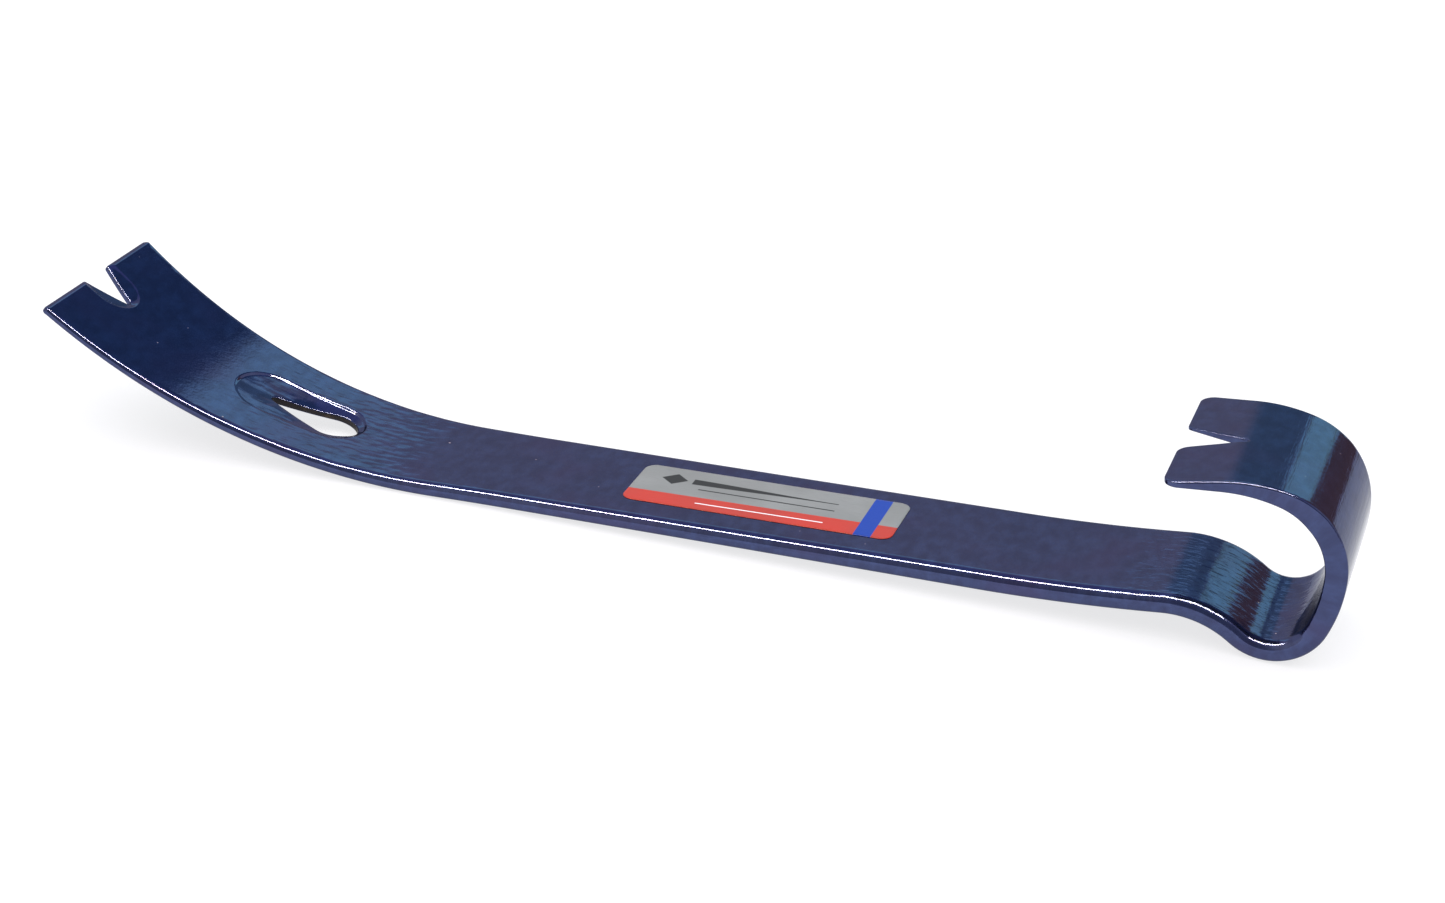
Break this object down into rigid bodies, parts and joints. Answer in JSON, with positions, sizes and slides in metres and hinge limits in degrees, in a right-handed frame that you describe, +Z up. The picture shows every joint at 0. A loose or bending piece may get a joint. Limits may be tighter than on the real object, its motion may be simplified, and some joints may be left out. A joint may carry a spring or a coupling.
{
  "type": "pry bar",
  "caption": "Flat forged pry bar with a flared notched claw blade, a teardrop nail slot and a curled notched hook.",
  "frame": {"origin": "middle of the bar's box, at the bottom, which is the bench that the belly and the heel rest on", "axes": "+X towards the hook, along the bar's length; +Y across the bar; +Z up from the bench"},
  "size_m": [0.3814, 0.0622, 0.0539],
  "materials": {
    "blue_enamel": "gloss",
    "label_print": "satin"
  },
  "bodies": {
    "root": {"forged_bar": "blue_enamel", "label": "label_print"}
  },
  "joints": []
}
